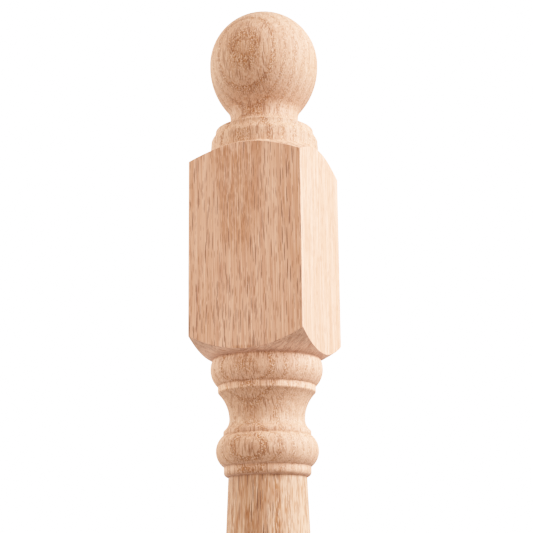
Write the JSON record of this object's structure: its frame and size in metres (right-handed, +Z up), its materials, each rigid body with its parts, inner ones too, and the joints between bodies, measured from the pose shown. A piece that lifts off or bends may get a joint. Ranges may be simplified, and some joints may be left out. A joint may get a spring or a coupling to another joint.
{
  "type": "newel post",
  "caption": "Solid oak newel post turned between square blocks: ball top on a collared neck, turned shoulders, beads, a cove and a tapered shaft, for the end of a handrail.",
  "frame": {"origin": "middle of the underside of the lower block, where the post is cut flat and stands on the floor", "axes": "+Z up the post along the turning axis; the flat faces of both square blocks look along +X, -X, +Y and -Y; the picture's front face looks along -Y and its right face along +X"},
  "size_m": [0.0826, 0.0826, 1.092],
  "materials": {
    "red_oak": "bare planed and turned red oak, unvarnished, open grain"
  },
  "bodies": {
    "root": {"newel_post": "red_oak"}
  },
  "joints": []
}
